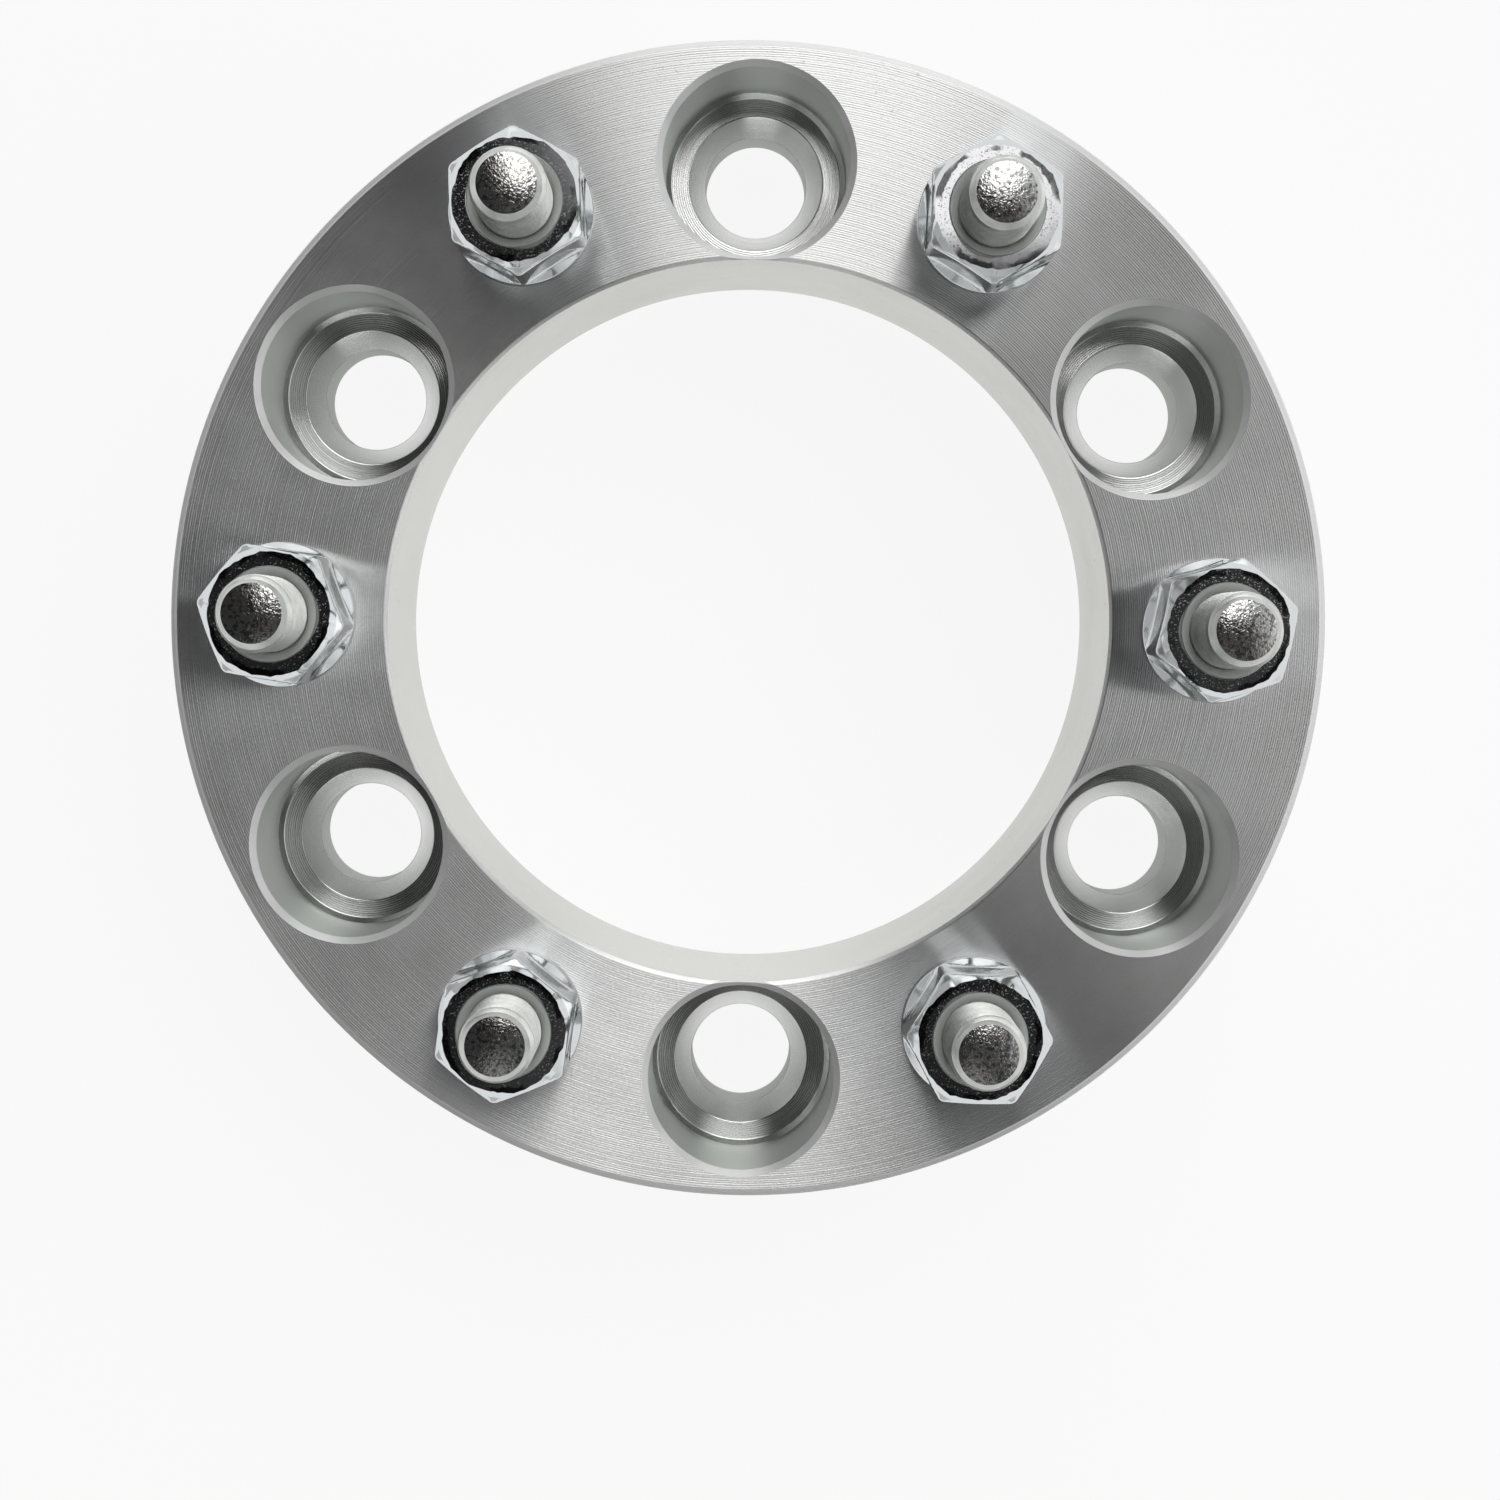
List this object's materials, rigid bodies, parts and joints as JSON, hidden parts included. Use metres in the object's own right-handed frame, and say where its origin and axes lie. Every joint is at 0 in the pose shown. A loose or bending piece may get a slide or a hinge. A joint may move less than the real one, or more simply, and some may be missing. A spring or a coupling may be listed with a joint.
{
  "type": "wheel spacer",
  "caption": "Thick aluminium ring that bolts to a wheel hub through stepped holes and carries its own pressed-in studs and cone-seat lug nuts.",
  "frame": {"origin": "centre of the bore on the back face, which bolts against the hub; the part lies on that face", "axes": "+Z along the bore axis, out of the face that the wheel goes against; +X towards one of the studs"},
  "size_m": [0.1764, 0.1764, 0.0721],
  "materials": {
    "turned_aluminium": "fine turned, satin",
    "plated_steel_stud": "clear zinc plated, rough end",
    "chrome_nut": "bright plated"
  },
  "bodies": {
    "root": {"spacer_ring": "turned_aluminium", "stud_1": "plated_steel_stud", "stud_2": "plated_steel_stud", "stud_3": "plated_steel_stud", "stud_4": "plated_steel_stud", "stud_5": "plated_steel_stud", "stud_6": "plated_steel_stud", "lug_nut_1": "chrome_nut", "lug_nut_2": "chrome_nut", "lug_nut_3": "chrome_nut", "lug_nut_4": "chrome_nut", "lug_nut_5": "chrome_nut", "lug_nut_6": "chrome_nut"}
  },
  "joints": []
}
